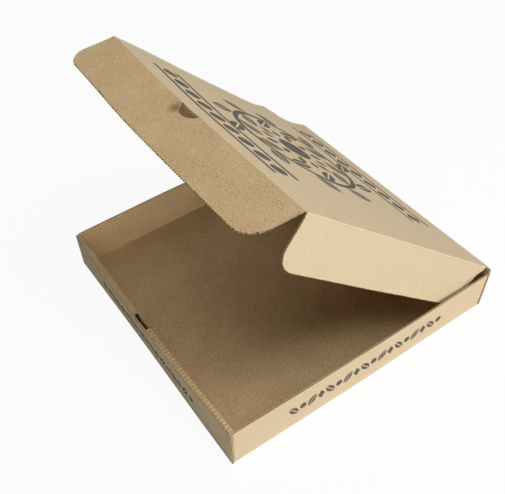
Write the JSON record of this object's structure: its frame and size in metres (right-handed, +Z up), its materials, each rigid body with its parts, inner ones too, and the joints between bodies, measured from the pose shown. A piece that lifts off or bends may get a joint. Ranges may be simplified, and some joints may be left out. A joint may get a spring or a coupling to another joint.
{
  "type": "pizza box",
  "caption": "Shallow square box folded from one corrugated sheet, with a roll-over double front wall and a hinged lid with tuck flaps, propped open.",
  "frame": {"origin": "centre of the footprint, on the surface that the box stands on", "axes": "+X towards the right side wall, -Y towards the double front wall, +Y towards the lid's hinge, +Z up"},
  "size_m": [0.305, 0.305, 0.2506],
  "materials": {
    "tray_board": "natural kraft",
    "lid_board": "natural kraft",
    "front_flap_board": "natural kraft",
    "side_flap_board": "natural kraft"
  },
  "bodies": {
    "tray": {"tray": "tray_board"},
    "lid": {"lid": "lid_board"},
    "front_flap": {"front_flap": "front_flap_board"},
    "left_flap": {"left_flap": "side_flap_board"},
    "right_flap": {"right_flap": "side_flap_board"}
  },
  "joints": [
    {"name": "lid_hinge", "type": "hinge", "parent": "tray", "child": "lid", "pos_m": [0, 0.1517, 0.051], "axis": [-1, 0, 0], "range_deg": [-41, 138]},
    {"name": "front_flap_fold", "type": "hinge", "parent": "lid", "child": "front_flap", "pos_m": [0, -0.0679, 0.24873], "axis": [1, 0, 0], "range_deg": [-45.5, 44.5]},
    {"name": "right_flap_fold", "type": "hinge", "parent": "lid", "child": "right_flap", "pos_m": [0.1494, 0.1517, 0.051], "axis": [0, 0.7431, -0.6691], "range_deg": [0, 20]},
    {"name": "left_flap_fold", "type": "hinge", "parent": "lid", "child": "left_flap", "pos_m": [-0.1494, 0.1517, 0.051], "axis": [0, -0.7431, 0.6691], "range_deg": [0, 20]}
  ]
}
